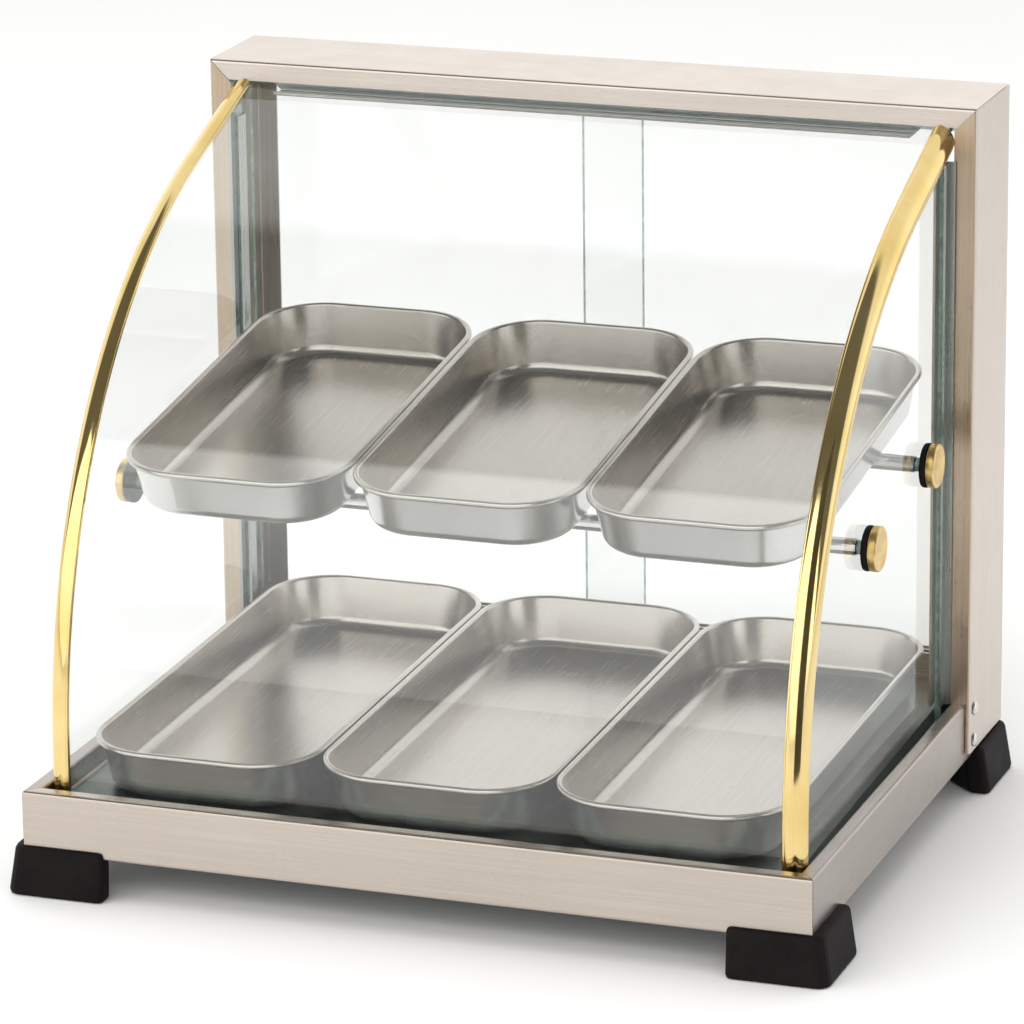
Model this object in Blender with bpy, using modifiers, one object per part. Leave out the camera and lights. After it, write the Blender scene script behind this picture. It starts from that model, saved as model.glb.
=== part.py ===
"""Countertop hot food display case with curved glass, six trays and sliding rear doors.

Metres, +Z up, +X to the right as seen from the customer side, +Y to the rear.
The origin is on the floor under the centre of the case.
"""
import math

import bmesh
import bpy
from mathutils import Matrix, Vector

# ---------------------------------------------------------------- driving sizes
GAP = 0.0003                 # clearance kept between neighbouring pieces

WIDTH = 0.470                # base rim, outside
DEPTH = 0.3835               # base rim, outside
FRONT = -0.1990              # outside of the base rim's front face
REAR = FRONT + DEPTH
FLOOR = 0.025                # underside of the base rim above the counter
RIM = 0.037                  # height of the base rim's face
FLANGE = 0.0096              # width of the rim's top flange
SEAT = 0.024                 # height of the glass seat above the rim's underside
SEAT_END = 0.024             # inner end of the glass seat, from the outside face
LOWER_FLANGE = 0.012
REAR_FLANGE = 0.026
SHEET = 0.001
FOLD = 0.0018                # outside radius of a fold
MITRE_GAP = 0.00022          # each panel end stands back this far from the mitre line

PORTAL_FRONT = FRONT + 0.3105    # rear frame
PORTAL_DEPTH = 0.073
PORTAL_FACE = 0.0117         # height of the top channel's front and rear faces
COLUMN_FACE = 0.0135         # width of the same faces on the columns
PORTAL_SHEET = 0.0012
PORTAL_TOP = FLOOR + 0.3975
PORTAL_HALF = WIDTH / 2 + 0.0032
PORTAL_SKIRT = FLOOR + 0.0065

GLASS = 0.004
PANE_X = 0.2170              # inner face of a side pane
ARC_Y = FRONT + 0.3366       # centre of the front curve
ARC_Z = FLOOR + 0.0548
ARC_RADIUS = 0.3183          # outside of the curved pane
ARC_STEP = math.radians(3.0)
ARC_END = math.radians(70.6)     # the panes run on straight above this angle
GLASS_TOP_Y = FRONT + 0.3225     # top edge of the curved pane
SIDE_GLASS_REAR = FRONT + 0.3079

TRIM_HALF = 0.2251           # outside of the corner trims
TRIM_LEG = 0.0127
TRIM_RADIUS = 0.3220
TRIM_NOSE = 0.0102

ROD_RADIUS = 0.00475
ROD_FRONT = (FRONT + 0.1460, FLOOR + 0.1813)
ROD_REAR = (FRONT + 0.2647, FLOOR + 0.1965)
STUD_RADIUS = 0.003
KNOB_RADIUS = 0.013
KNOB_THICK = 0.0052
WASHER_THICK = 0.0036

TRAY_WIDTH = 0.139
TRAY_PITCH = 0.1400
TRAY_SHIFT = -0.0030         # the trays stand a little left of centre
TRAY_HEIGHT = 0.031
TRAY_CORNER = 0.041
TRAY_SHEET = 0.0008
TRAY_CORNER_STEPS = 6
LOWER_TRAY_LENGTH = 0.334
UPPER_TRAY_LENGTH = 0.270
UPPER_TRAY_Y = FRONT + 0.2159

CLIP_HALF = 0.2065            # half length of the strip that holds the pane's top edge

DECK_HALF = 0.2163
DECK_FRONT = FRONT + 0.0230
DECK_REAR = FRONT + 0.3565
DECK_LOW = FLOOR + 0.0275    # deck surface at its front edge
DECK_RISE = 0.0070           # how much higher its rear edge is

PANE_Y = (FRONT + 0.3645, FRONT + 0.3715)    # middle of the inner and the outer door
DOOR_WIDTH = 0.252
DOOR_NEAR = (0.0177, -0.0222)    # overlapping edges of the left and the right door
DOOR_FOOT = FLOOR + 0.0393
DOOR_HEIGHT = 0.3450
RIB = 0.0014
PULL_X = 0.160
PULL_Z = FLOOR + 0.205

CONTROL_Z = FLOOR + 0.0185
DIAL_X = -0.150
LAMP_X = -0.105
GLAND_X = 0.165

RIVET_Y = FRONT + 0.3190
RIVET_Z = (FLOOR + 0.0131, FLOOR + 0.0328)
RIVET_HOLE = 0.0020
SCREW_INSET = 0.0155         # foot screws, from the rim's corner both ways
SCREW_HOLE = 0.0029
VENT_ROWS = (FRONT + 0.085, FRONT + 0.195, FRONT + 0.315)
VENT_PITCH = 0.060

FOOT_SIZE = 0.060            # along each side of the corner
FOOT_END = 0.012             # width of each end of the foot
FOOT_OUT_X = 0.0105          # how far a foot's sole stands out beyond the rim's side
FOOT_OUT_Y = 0.0055
FOOT_LIP = 0.0045            # height of the lip that wraps the rim
FOOT_TAPER = 0.0045

ELEMENT_RADIUS = 0.004
ELEMENT_Z = FLOOR + 0.0150
ELEMENT_LEG = 0.100
ELEMENT_ENDS = (FRONT + 0.345, FRONT + 0.285)
ELEMENT_FRONT = FRONT + 0.095

# ---------------------------------------------------------------- finishes
STEEL = ((0.62, 0.58, 0.53), 0.34, 1.0)
TRAY_STEEL = ((0.60, 0.59, 0.57), 0.28, 1.0)
ZINC = ((0.30, 0.33, 0.32), 0.38, 1.0)
GOLD = ((0.83, 0.62, 0.22), 0.16, 1.0)
BRASS = ((0.74, 0.56, 0.24), 0.26, 1.0)
ALUMINIUM = ((0.50, 0.52, 0.50), 0.35, 1.0)
RUBBER = ((0.016, 0.014, 0.015), 0.60, 0.0)
DARK_PLASTIC = ((0.03, 0.03, 0.032), 0.40, 0.0)
PALE_PLASTIC = ((0.72, 0.70, 0.64), 0.45, 0.0)
AMBER = ((0.85, 0.32, 0.04), 0.20, 0.0)
GLAZING = ((0.86, 0.93, 0.90), 0.05, 0.0)
SHEATH = ((0.16, 0.15, 0.14), 0.50, 1.0)


# ---------------------------------------------------------------- scene helpers
def clear_scene():
    """Remove every object that a new file starts with."""
    for obj in list(bpy.data.objects):
        bpy.data.objects.remove(obj, do_unlink=True)


def new_collection(name):
    """A collection linked to the scene."""
    collection = bpy.data.collections.new(name)
    bpy.context.scene.collection.children.link(collection)
    return collection


def paint(obj, finish):
    """Give an object its own Principled material."""
    colour, roughness, metallic = finish
    material = bpy.data.materials.new(obj.name + "_material")
    material.use_nodes = True
    shader = material.node_tree.nodes["Principled BSDF"]
    shader.inputs["Base Color"].default_value = (*colour, 1.0)
    shader.inputs["Roughness"].default_value = roughness
    shader.inputs["Metallic"].default_value = metallic
    if finish is GLAZING:
        shader.inputs["Transmission Weight"].default_value = 0.9
        shader.inputs["Alpha"].default_value = 0.25
    material.diffuse_color = (*colour, 1.0)
    obj.data.materials.append(material)


def place(name, mesh, finish, location=(0, 0, 0), rotation=(0, 0, 0)):
    """Link a finished mesh as one named sub-part."""
    obj = bpy.data.objects.new(name, mesh)
    parts.objects.link(obj)
    obj.location = location
    obj.rotation_euler = rotation
    paint(obj, finish)
    return obj


def to_mesh(bm, name, down=None):
    """Turn a bmesh into mesh data with outward normals, or with one face facing down."""
    bmesh.ops.recalc_face_normals(bm, faces=bm.faces)
    if down and down.normal.z > 0:
        bmesh.ops.reverse_faces(bm, faces=bm.faces)
    mesh = bpy.data.meshes.new(name)
    bm.to_mesh(mesh)
    bm.free()
    return mesh


def bevel(obj, width, segments=2, angle=35):
    """Round an object's sharp edges."""
    mod = obj.modifiers.new("edge_rounding", "BEVEL")
    mod.width = width
    mod.segments = segments
    mod.limit_method = "ANGLE"
    mod.angle_limit = math.radians(angle)


def cut(obj, cutter, operation="DIFFERENCE"):
    """Cut an object with a cutter, or join a cutter's shape to it."""
    mod = obj.modifiers.new("cut_" + cutter.name, "BOOLEAN")
    mod.object = cutter
    mod.operation = operation
    mod.solver = "EXACT"


def new_cutter(name, bm):
    """A hidden cutting shape."""
    obj = bpy.data.objects.new(name, to_mesh(bm, name))
    cutters.objects.link(obj)
    obj.display_type = "WIRE"
    obj.hide_render = True
    return obj


def add_box(bm, x, y, z):
    """Add a box between two values on each axis."""
    size = Vector((x[1] - x[0], y[1] - y[0], z[1] - z[0]))
    middle = Vector((x[1] + x[0], y[1] + y[0], z[1] + z[0])) / 2
    matrix = Matrix.Translation(middle) @ Matrix.Diagonal((*size, 1.0))
    bmesh.ops.create_cube(bm, size=1.0, matrix=matrix)


def box_mesh(name, x, y, z):
    """Mesh data of one box."""
    bm = bmesh.new()
    add_box(bm, x, y, z)
    return to_mesh(bm, name)


AXIS_TURN = {
    "X": Matrix.Rotation(math.pi / 2, 4, "Y"),
    "Y": Matrix.Rotation(-math.pi / 2, 4, "X"),
    "Z": Matrix.Identity(4),
}


def add_rod(bm, centre, radius, length, axis="Z", sides=20):
    """Add a capped cylinder centred on a point."""
    matrix = Matrix.Translation(Vector(centre)) @ AXIS_TURN[axis]
    bmesh.ops.create_cone(
        bm, cap_ends=True, segments=sides, radius1=radius, radius2=radius,
        depth=length, matrix=matrix)


def cutting_rod(name, centre, radius, length, axis="Z", sides=20):
    """A cylindrical cutter."""
    bm = bmesh.new()
    add_rod(bm, centre, radius, length, axis, sides)
    return new_cutter(name, bm)


def turned(name, profile, finish, location, axis="Z", steps=24):
    """A turned piece: (radius, height) points, upwards on the outer side, revolved."""
    bm = bmesh.new()
    verts = [bm.verts.new((radius, 0, height)) for radius, height in reversed(profile)]
    for start, end in zip(verts, verts[1:]):
        bm.edges.new((start, end))
    if profile[0][0] > 0:
        bm.edges.new((verts[-1], verts[0]))
    mesh = bpy.data.meshes.new(name)
    bm.to_mesh(mesh)
    bm.free()
    rotation = {"Z": (0, 0, 0), "X": (0, math.pi / 2, 0), "-X": (0, -math.pi / 2, 0),
                "Y": (-math.pi / 2, 0, 0)}[axis]
    obj = place(name, mesh, finish, location, rotation)
    mod = obj.modifiers.new("turn", "SCREW")
    mod.axis = "Z"
    mod.steps = steps
    mod.render_steps = steps
    mod.use_merge_vertices = True
    mod.merge_threshold = 0.00001
    return obj


# ---------------------------------------------------------------- outline helpers
def round_corners(points, radius, steps=3):
    """An open outline with each inner corner replaced by an arc."""
    result = [Vector(points[0])]
    for before, corner, after in zip(points, points[1:], points[2:]):
        corner = Vector(corner)
        back = (Vector(before) - corner).normalized()
        ahead = (Vector(after) - corner).normalized()
        half = back.angle(ahead) / 2
        reach = radius / math.tan(half)
        centre = corner + (back + ahead).normalized() * radius / math.sin(half)
        start = corner + back * reach - centre
        sweep = start.angle_signed(corner + ahead * reach - centre)
        for step in range(steps + 1):
            turn = Matrix.Rotation(-sweep * step / steps, 2)
            result.append(centre + turn @ start)
    result.append(Vector(points[-1]))
    return result


def thicken(path, thickness):
    """Close an open outline with a copy of itself offset to its right."""
    offset = []
    for index, point in enumerate(path):
        sides = []
        for a, b in ((index - 1, index), (index, index + 1)):
            if a >= 0 and b < len(path):
                run = (path[b] - path[a]).normalized()
                sides.append(Vector((run.y, -run.x)))
        normal = sum(sides, Vector((0, 0))).normalized()
        offset.append(point + normal * thickness / normal.dot(sides[0]))
    return list(path) + offset[::-1]


def sweep_x(outline, half_length, end_shift=None):
    """Sweep a closed (y, z) outline along X; end_shift(y, z) sets each end back."""
    bm = bmesh.new()
    ring = [bm.verts.new((-half_length, y, z)) for y, z in outline]
    face = bm.faces.new(ring)
    grown = bmesh.ops.extrude_face_region(bm, geom=[face])["geom"]
    far = [item for item in grown if isinstance(item, bmesh.types.BMVert)]
    bmesh.ops.translate(bm, verts=far, vec=(2 * half_length, 0, 0))
    if end_shift:
        for vert in bm.verts:
            back = end_shift(vert.co.y, vert.co.z)
            vert.co.x -= math.copysign(back, vert.co.x)
    return bm


def sweep_z(outline, low, high):
    """Sweep a closed (x, y) outline upwards."""
    bm = bmesh.new()
    face = bm.faces.new([bm.verts.new((x, y, low)) for x, y in outline])
    grown = bmesh.ops.extrude_face_region(bm, geom=[face])["geom"]
    far = [item for item in grown if isinstance(item, bmesh.types.BMVert)]
    bmesh.ops.translate(bm, verts=far, vec=(0, 0, high - low))
    return bm


def front_curve(radius, foot_z, y_end):
    """(y, z) points up a straight foot, round the front curve and straight on to y_end."""
    points = [Vector((ARC_Y - radius, foot_z))]
    count = math.ceil(ARC_END / ARC_STEP)
    for step in range(count + 1):
        angle = ARC_END * step / count
        points.append(Vector((ARC_Y - radius * math.cos(angle), ARC_Z + radius * math.sin(angle))))
    last = points[-1]
    points.append(Vector((y_end, last.y + (y_end - last.x) / math.tan(ARC_END))))
    return points


# ---------------------------------------------------------------- base rim
def mitred(y, z):
    """End setback that makes two rim panels meet on a 45 degree line."""
    return y + MITRE_GAP


def rim_panel(name, length, location, turn, seat=True):
    """One folded panel of the base rim; its local Y points into the case."""
    path = [(LOWER_FLANGE, 0), (0, 0), (0, RIM)]
    if seat:
        path += [(FLANGE, RIM), (FLANGE, SEAT), (SEAT_END, SEAT)]
    else:
        path += [(REAR_FLANGE, RIM)]
    outline = thicken(round_corners(path, FOLD), SHEET)
    bm = sweep_x(outline, length / 2, mitred)
    return place(name, to_mesh(bm, name), STEEL, location, (0, 0, turn))


def build_base_rim():
    """Four folded panels with mitred corners."""
    middle = FRONT + DEPTH / 2
    rim_panel("base_front_panel", WIDTH, (0, FRONT, FLOOR), 0)
    right = rim_panel("base_right_panel", DEPTH, (WIDTH / 2, middle, FLOOR), math.pi / 2)
    left = rim_panel("base_left_panel", DEPTH, (-WIDTH / 2, middle, FLOOR), -math.pi / 2)
    rear = rim_panel("base_rear_panel", WIDTH, (0, REAR, FLOOR), math.pi, seat=False)
    for label, x, radius in (("dial", DIAL_X, 0.0048), ("lamp", LAMP_X, 0.0056),
                             ("gland", GLAND_X, 0.0081)):
        cut(rear, cutting_rod("hole_" + label, (x, REAR, CONTROL_Z), radius, 0.008, "Y"))
    for panel, side in ((right, 1), (left, -1)):
        for index, z in enumerate(RIVET_Z):
            centre = (side * WIDTH / 2, RIVET_Y, z)
            label = f"hole_rivet_{index}_{'right' if side > 0 else 'left'}"
            cut(panel, cutting_rod(label, centre, RIVET_HOLE, 0.008, "X", 16))


def screw_places():
    """Name tail and floor position of each corner screw."""
    for x_name, x in (("l", -WIDTH / 2 + SCREW_INSET), ("r", WIDTH / 2 - SCREW_INSET)):
        for y_name, y in (("f", FRONT + SCREW_INSET), ("r", REAR - SCREW_INSET)):
            yield y_name + x_name, x, y


def build_bottom_cover():
    """Flat plate on the rim's lower flanges, with vent slots and screw holes."""
    edge = 0.0016
    low = FLOOR + SHEET + GAP
    mesh = box_mesh("bottom_cover", (-WIDTH / 2 + edge, WIDTH / 2 - edge),
                    (FRONT + edge, REAR - edge), (low, low + SHEET))
    cover = place("bottom_cover", mesh, ZINC)
    slots = bmesh.new()
    for y in VENT_ROWS:
        for column in range(-2, 3):
            x = column * VENT_PITCH
            add_box(slots, (x - 0.020, x + 0.020), (y - 0.0025, y + 0.0025), (low - 0.002, low + 0.004))
    cut(cover, new_cutter("vent_slots", slots))
    holes = bmesh.new()
    for _, x, y in screw_places():
        add_rod(holes, (x, y, low), SCREW_HOLE, 0.008, sides=16)
    cut(cover, new_cutter("cover_screw_holes", holes))


def deck_height(y):
    """Height of the deck's top surface."""
    return DECK_LOW + DECK_RISE * (y - DECK_FRONT) / (DECK_REAR - DECK_FRONT)


def build_deck():
    """Warming plate: a shallow lid with turned-down edges standing on the rim's seats."""
    bm = bmesh.new()
    bmesh.ops.create_grid(bm, x_segments=1, y_segments=1, size=0.5)
    for vert in bm.verts:
        vert.co.x *= 2 * DECK_HALF
        vert.co.y = DECK_FRONT if vert.co.y < 0 else DECK_REAR
        vert.co.z = deck_height(vert.co.y)
    grown = bmesh.ops.extrude_edge_only(bm, edges=list(bm.edges))["geom"]
    for vert in (item for item in grown if isinstance(item, bmesh.types.BMVert)):
        vert.co.z = FLOOR + SEAT + GAP
    deck = place("deck_plate", to_mesh(bm, "deck_plate"), ZINC)
    solid = deck.modifiers.new("sheet", "SOLIDIFY")
    solid.thickness = SHEET
    solid.offset = -1
    solid.use_even_offset = True


# ---------------------------------------------------------------- feet
def foot_plan():
    """Outline of a foot from its outer corner: a corner piece with its inner side cut off."""
    size, end = FOOT_SIZE, FOOT_END
    corners = [(size, 0), (size, end), (end, size), (0, size)]
    tips = round_corners([(size / 2, 0)] + corners + [(0, size / 2)], 0.0040)
    return tips[:-1] + round_corners([(0, size / 2), (0, 0), (size / 2, 0)], 0.0080, 4)[:-1]


def build_feet():
    """Rubber corner feet that wrap the rim, each held by one screw from below."""
    for tail, screw_x, screw_y in screw_places():
        side = math.copysign(1, screw_x)
        end = -1 if screw_y < 0 else 1
        corner = Vector((side * WIDTH / 2, FRONT if end < 0 else REAR, FLOOR))
        outline = foot_plan()
        bm = sweep_z(outline, 0, FLOOR + FOOT_LIP)
        for vert in bm.verts:
            taper = FOOT_TAPER if vert.co.z > FLOOR else 0
            u = taper + vert.co.x * (1 - taper / FOOT_SIZE)
            v = taper / 2 + vert.co.y * (1 - taper / 2 / FOOT_SIZE)
            vert.co.x, vert.co.y = side * (FOOT_OUT_X - u), end * (FOOT_OUT_Y - v)
        foot = place("foot_" + tail, to_mesh(bm, "foot_" + tail), RUBBER, (corner.x, corner.y, 0))
        bevel(foot, 0.0025, 2)
        pocket = bmesh.new()
        x_far, y_far = corner.x - side * 0.07, corner.y - end * 0.07
        x_near, y_near = corner.x + side * GAP, corner.y + end * GAP
        add_box(pocket, sorted((x_far, x_near)), sorted((y_far, y_near)), (FLOOR - GAP, FLOOR + 0.02))
        cut(foot, new_cutter("pocket_" + tail, pocket))
        cut(foot, cutting_rod("recess_" + tail, (screw_x, screw_y, 0), 0.0065, 0.024, sides=16))
        cut(foot, cutting_rod("bore_" + tail, (screw_x, screw_y, 0.018), SCREW_HOLE, 0.030, sides=16))
        profile = [(0, 0), (0.0045, 0), (0.0050, 0.0008), (0.0050, 0.0030), (0.0025, 0.0030),
                   (0.0025, 0.0220), (0.0020, 0.0228), (0, 0.0228)]
        turned("foot_screw_" + tail, profile, TRAY_STEEL, (screw_x, screw_y, 0.0087), "Z", 16)


# ---------------------------------------------------------------- rear portal
def build_portal():
    """Three folded channels with mitred upper corners, open towards the opening."""
    front, rear = PORTAL_FRONT, PORTAL_FRONT + PORTAL_DEPTH
    inner = PORTAL_HALF - COLUMN_FACE
    path = [(front, PORTAL_TOP - PORTAL_FACE), (front, PORTAL_TOP),
            (rear, PORTAL_TOP), (rear, PORTAL_TOP - PORTAL_FACE)]
    outline = thicken(round_corners(path, FOLD), PORTAL_SHEET)
    top = sweep_x(outline, PORTAL_HALF, lambda y, z: PORTAL_TOP - z + MITRE_GAP)
    place("frame_top", to_mesh(top, "frame_top"), STEEL)

    for name, side in (("left", -1), ("right", 1)):
        path = [(inner, front), (PORTAL_HALF, front), (PORTAL_HALF, rear), (inner, rear)]
        folded = thicken(round_corners(path, FOLD)[::-1], PORTAL_SHEET)
        outline = [(side * x, y) for x, y in folded]
        bm = sweep_z(outline, PORTAL_SKIRT, PORTAL_TOP)
        for vert in bm.verts:
            if vert.co.z > FLOOR + 0.1:
                vert.co.z -= PORTAL_HALF - abs(vert.co.x) + MITRE_GAP
        column = place("frame_" + name, to_mesh(bm, "frame_" + name), STEEL)
        clear = bmesh.new()
        add_box(clear, sorted((side * 0.20, side * (WIDTH / 2 + GAP))), (front - 0.01, rear + 0.01),
                (FLOOR - 0.01, FLOOR + RIM + GAP))
        cut(column, new_cutter("clear_rim_" + name, clear))
        for index, z in enumerate(RIVET_Z):
            hole = cutting_rod(f"hole_{name}_{index}", (side * PORTAL_HALF, RIVET_Y, z),
                               RIVET_HOLE, 0.006, "X", 16)
            cut(column, hole)
            profile = [(0, -0.0050), (0.0016, -0.0050), (0.0016, 0.0003), (0.0040, 0.0003),
                       (0.0037, 0.0011), (0.0026, 0.0017), (0.0012, 0.0020), (0, 0.0020)]
            tail = "lower" if index == 0 else "upper"
            turned(f"rivet_{name}_{tail}", profile, TRAY_STEEL, (side * PORTAL_HALF, RIVET_Y, z),
                   "X" if side > 0 else "-X", 16)


# ---------------------------------------------------------------- glass and its holders
def build_front_glass():
    """Curved pane over the full width, its foot in the rim's seat."""
    path = front_curve(ARC_RADIUS, FLOOR + SEAT + GAP, GLASS_TOP_Y)
    bm = sweep_x(thicken(path, GLASS), PANE_X + GLASS)
    place("front_glass", to_mesh(bm, "front_glass"), GLAZING)


def build_side_glass():
    """Flat panes cut to the inside of the front curve, drilled for the two rods."""
    radius = ARC_RADIUS - GLASS - GAP
    curve = front_curve(radius, FLOOR + SEAT + GAP, SIDE_GLASS_REAR)
    outline = curve + [Vector((SIDE_GLASS_REAR, FLOOR + SEAT + GAP))]
    for name, side in (("left", -1), ("right", 1)):
        bm = sweep_x(outline, GLASS / 2)
        x = side * (PANE_X + GLASS / 2)
        pane = place("side_glass_" + name, to_mesh(bm, "side_glass_" + name), GLAZING, (x, 0, 0))
        for label, (y, z) in (("front", ROD_FRONT), ("rear", ROD_REAR)):
            cut(pane, cutting_rod(f"rod_hole_{label}_{name}", (x, y, z), 0.004, 0.012, "X"))


def build_side_gaskets():
    """Channels round the rear edge of each side pane, with a flange in front of the column."""
    front, rear = FRONT + 0.3010, FRONT + 0.3099
    leg = 0.0015
    inside = PANE_X - GAP - leg
    outside = PANE_X + GLASS + GAP + leg
    flange = outside + 0.0034
    section = [(inside, front), (inside, rear), (flange, rear), (flange, rear - leg),
               (outside, rear - leg), (outside, front), (outside - leg, front),
               (outside - leg, rear - leg), (inside + leg, rear - leg), (inside + leg, front)]
    for name, side in (("left", -1), ("right", 1)):
        bm = sweep_z([(side * x, y) for x, y in section], FLOOR + RIM + GAP, FLOOR + 0.3660)
        place("side_gasket_" + name, to_mesh(bm, "side_gasket_" + name), DARK_PLASTIC)


def trim_outline():
    """Convex corner section: (x, radius) with a front leg and a side leg."""
    x_out, r_out, leg, nose = TRIM_HALF, TRIM_RADIUS, TRIM_LEG, TRIM_NOSE
    x_in, r_in = PANE_X + GLASS + GAP, ARC_RADIUS + GAP
    points = [(x_out - leg, r_in), (x_out - leg, r_out - 0.0014), (x_out - leg + 0.0012, r_out - 0.0004)]
    for step in range(9):
        angle = math.radians(88 - 86 * step / 8)
        points.append((x_out - nose + nose * math.cos(angle), r_out - nose + nose * math.sin(angle)))
    points += [(x_out - 0.0004, r_out - leg + 0.0012), (x_out - 0.0014, r_out - leg),
               (x_in, r_out - leg), (x_in, r_in)]
    return points


def build_trims():
    """Polished corner trims that follow the front curve over both glass joints."""
    foot = FLOOR + SEAT + FOLD
    for name, side in (("left", -1), ("right", 1)):
        bm = bmesh.new()
        curves = [(x, front_curve(radius, foot, PORTAL_FRONT - GAP)) for x, radius in trim_outline()]
        rings = [[bm.verts.new((side * x, *curve[station])) for x, curve in curves]
                 for station in range(len(curves[0][1]))]
        for lower, upper in zip(rings, rings[1:]):
            for index, vert in enumerate(lower):
                bm.faces.new((vert, lower[index - 1], upper[index - 1], upper[index]))
        bm.faces.new(rings[0])
        bm.faces.new(rings[-1])
        place("trim_" + name, to_mesh(bm, "trim_" + name), GOLD)


def build_top_clip():
    """Strip under the portal's lip that grips the top edge of the curved pane."""
    half, wall = CLIP_HALF, 0.0012
    y_lip, y_web = FRONT + 0.3135, FRONT + 0.3256
    low, high = FLOOR + 0.3768, PORTAL_TOP - PORTAL_SHEET - GAP
    path = [(y_lip, low + 0.0024), (y_lip, low), (y_web, low), (y_web, high)]
    outline = thicken(round_corners(path[::-1], 0.0016)[::-1], -wall)
    clip = place("glass_top_clip", to_mesh(sweep_x(outline, half), "glass_top_clip"), ALUMINIUM)
    bm = bmesh.new()
    leaf = FLOOR + 0.3880
    add_box(bm, (-half, half), (y_lip, y_web - wall / 2), (leaf, leaf + wall))
    cut(clip, new_cutter("clip_upper_leaf", bm), "UNION")
    corner = bmesh.new()
    for side in (-1, 1):
        matrix = Matrix.Translation((side * half, y_lip + 0.005, low)) @ Matrix.Rotation(math.pi / 4, 4, "Y")
        bmesh.ops.create_cube(corner, size=1.0, matrix=matrix @ Matrix.Diagonal((0.014, 0.040, 0.014, 1.0)))
    cut(clip, new_cutter("clip_corners", corner))


# ---------------------------------------------------------------- rods for the upper trays
def build_rods():
    """Two steel rods with threaded ends, held by disc nuts outside the side panes."""
    inner = PANE_X - GAP
    stud = PANE_X + GLASS + GAP + WASHER_THICK + GAP + 0.0030
    chamfer = 0.0006
    profile = [(0, -stud), (STUD_RADIUS, -stud), (STUD_RADIUS, -inner), (ROD_RADIUS - chamfer, -inner),
               (ROD_RADIUS, -inner + chamfer), (ROD_RADIUS, inner - chamfer),
               (ROD_RADIUS - chamfer, inner), (STUD_RADIUS, inner), (STUD_RADIUS, stud), (0, stud)]
    for label, (y, z) in (("front", ROD_FRONT), ("rear", ROD_REAR)):
        turned("rod_" + label, profile, TRAY_STEEL, (0, y, z), "X", 24)
        for name, side in (("left", -1), ("right", 1)):
            axis = "X" if side > 0 else "-X"
            washer = [(0.0036, 0), (KNOB_RADIUS - 0.0004, 0), (KNOB_RADIUS, 0.0004),
                      (KNOB_RADIUS, WASHER_THICK - 0.0004), (KNOB_RADIUS - 0.0004, WASHER_THICK),
                      (0.0036, WASHER_THICK)]
            x = PANE_X + GLASS + GAP
            turned(f"washer_{label}_{name}", washer, RUBBER, (side * x, y, z), axis, 20)
            bore = STUD_RADIUS + GAP
            knob = [(bore, 0), (KNOB_RADIUS - 0.0003, 0), (KNOB_RADIUS, 0.0003),
                    (KNOB_RADIUS, KNOB_THICK - 0.0009), (KNOB_RADIUS - 0.0009, KNOB_THICK),
                    (0, KNOB_THICK), (0, 0.0036), (bore, 0.0034)]
            x += WASHER_THICK + GAP
            blind_knob(f"knob_{label}_{name}", knob, (side * x, y, z), axis)


def blind_knob(name, profile, location, axis):
    """A disc nut whose bore stops short of its face."""
    start = profile.index((0, KNOB_THICK))
    ordered = profile[start + 1:] + profile[:start + 1]
    turned(name, ordered, BRASS, location, axis, 24)


# ---------------------------------------------------------------- trays
def tray_ring(length, inset, z):
    """Rounded rectangle, set in from the tray's largest outline."""
    radius = TRAY_CORNER - inset
    half_x = TRAY_WIDTH / 2 - TRAY_CORNER
    half_y = length / 2 - TRAY_CORNER
    ring = []
    for quarter, (sx, sy) in enumerate(((1, 1), (-1, 1), (-1, -1), (1, -1))):
        for step in range(TRAY_CORNER_STEPS + 1):
            angle = math.pi / 2 * (quarter + step / TRAY_CORNER_STEPS)
            ring.append((sx * half_x + radius * math.cos(angle),
                         sy * half_y + radius * math.sin(angle), z))
    return ring


def tray_mesh(name, length):
    """Pressed tray as an open surface: flat floor, leaning walls, rolled rim."""
    top = TRAY_HEIGHT
    section = [(0.0140, 0.0), (0.0095, 0.0018), (0.0072, 0.0062), (0.0041, top - 0.0026),
               (0.0030, top - 0.0011), (0.0018, top - 0.0008), (0.0009, top - 0.0019),
               (0.0008, top - 0.0034)]
    bm = bmesh.new()
    floor = bm.faces.new([bm.verts.new(point) for point in tray_ring(length, *section[0])])
    ring = list(floor.verts)
    for inset, z in section[1:]:
        edges = [bm.edges.get((a, b)) for a, b in zip(ring, ring[1:] + ring[:1])]
        grown = bmesh.ops.extrude_edge_only(bm, edges=edges)["geom"]
        fresh = {v for v in grown if isinstance(v, bmesh.types.BMVert)}
        upper = []
        for vert, point in zip(ring, tray_ring(length, inset, z)):
            copy = next(e.other_vert(vert) for e in vert.link_edges if e.other_vert(vert) in fresh)
            copy.co = point
            upper.append(copy)
        ring = upper
    return to_mesh(bm, name, down=floor)


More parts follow.
